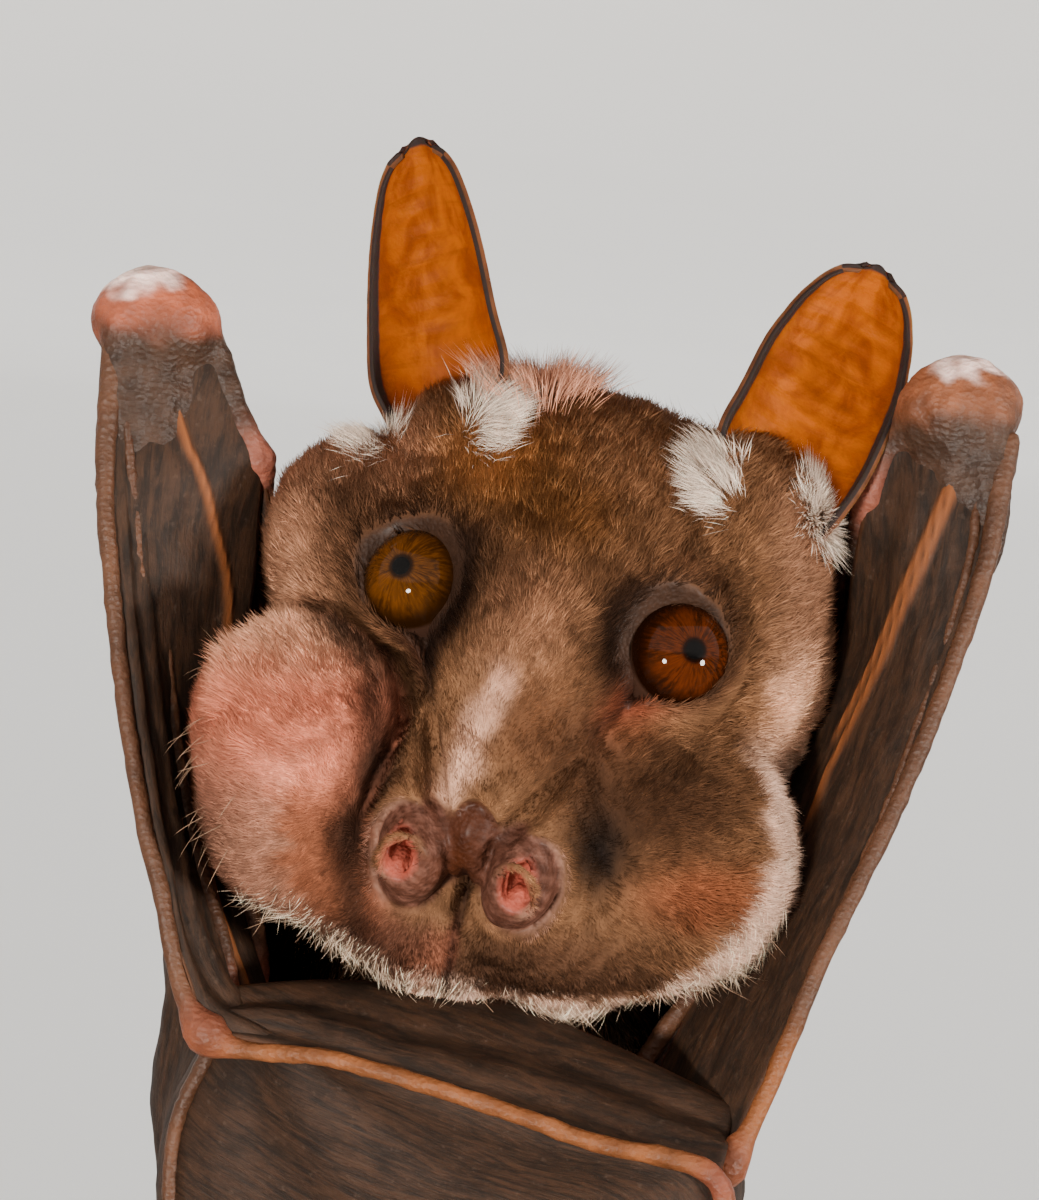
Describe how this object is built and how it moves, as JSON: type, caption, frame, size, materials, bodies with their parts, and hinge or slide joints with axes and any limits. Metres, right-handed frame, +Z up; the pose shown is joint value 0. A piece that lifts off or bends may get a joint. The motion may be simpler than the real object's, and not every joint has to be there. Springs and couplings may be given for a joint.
{
  "type": "epauletted fruit bat, still model",
  "caption": "Still, life-size fruit bat hanging head down from a short cut branch on a two-rod stand, wings wrapped round, one cheek full.",
  "frame": {"origin": "middle of the base's underside", "axes": "+Z up; the bat's face looks towards -Y; its right side is towards +X, as it hangs head down"},
  "size_m": [0.156, 0.156, 0.2211],
  "materials": {
    "fur": "short dense animal fur, browns with pale tips",
    "nose_skin": "bare moist skin and short fur",
    "ear_skin": "thin translucent skin",
    "eye": "wet gloss",
    "wing_skin": "thin wrinkled skin",
    "limb_skin": "bare skin over bone",
    "claw": "polished horn",
    "bark": "rough bark",
    "base_wood": "satin varnish",
    "rod": "fine brushed"
  },
  "bodies": {
    "root": {"stand_perch": "bark", "stand_rod_left": "rod", "stand_rod_right": "rod", "stand_base": "base_wood", "eye_right": "eye", "eye_left": "eye", "lower_jaw": "fur", "snout": "nose_skin", "head": "fur", "cheek_right": "fur", "ear_right": "ear_skin", "ear_left": "ear_skin", "neck": "fur", "trunk": "fur", "wrist_right": "limb_skin", "forearm_right": "limb_skin", "upper_arm_right": "fur", "thumb_right": "limb_skin", "finger_3_right": "limb_skin", "finger_4_right": "limb_skin", "finger_5_right": "limb_skin", "finger_2_right": "limb_skin", "web_3_4_right": "wing_skin", "web_4_5_right": "wing_skin", "arm_web_right": "wing_skin", "shoulder_web_right": "wing_skin", "thumb_claw_right": "claw", "wrist_left": "limb_skin", "forearm_left": "limb_skin", "upper_arm_left": "fur", "thumb_left": "limb_skin", "finger_3_left": "limb_skin", "finger_4_left": "limb_skin", "finger_5_left": "limb_skin", "finger_2_left": "limb_skin", "web_3_4_left": "wing_skin", "web_4_5_left": "wing_skin", "arm_web_left": "wing_skin", "shoulder_web_left": "wing_skin", "thumb_claw_left": "claw", "thigh_right": "fur", "shank_right": "fur", "foot_right": "limb_skin", "toe_claw_1_right": "claw", "toe_claw_2_right": "claw", "toe_claw_3_right": "claw", "toe_claw_4_right": "claw", "toe_claw_5_right": "claw", "thigh_left": "fur", "shank_left": "fur", "foot_left": "limb_skin", "toe_claw_1_left": "claw", "toe_claw_2_left": "claw", "toe_claw_3_left": "claw", "toe_claw_4_left": "claw", "toe_claw_5_left": "claw"}
  },
  "joints": []
}
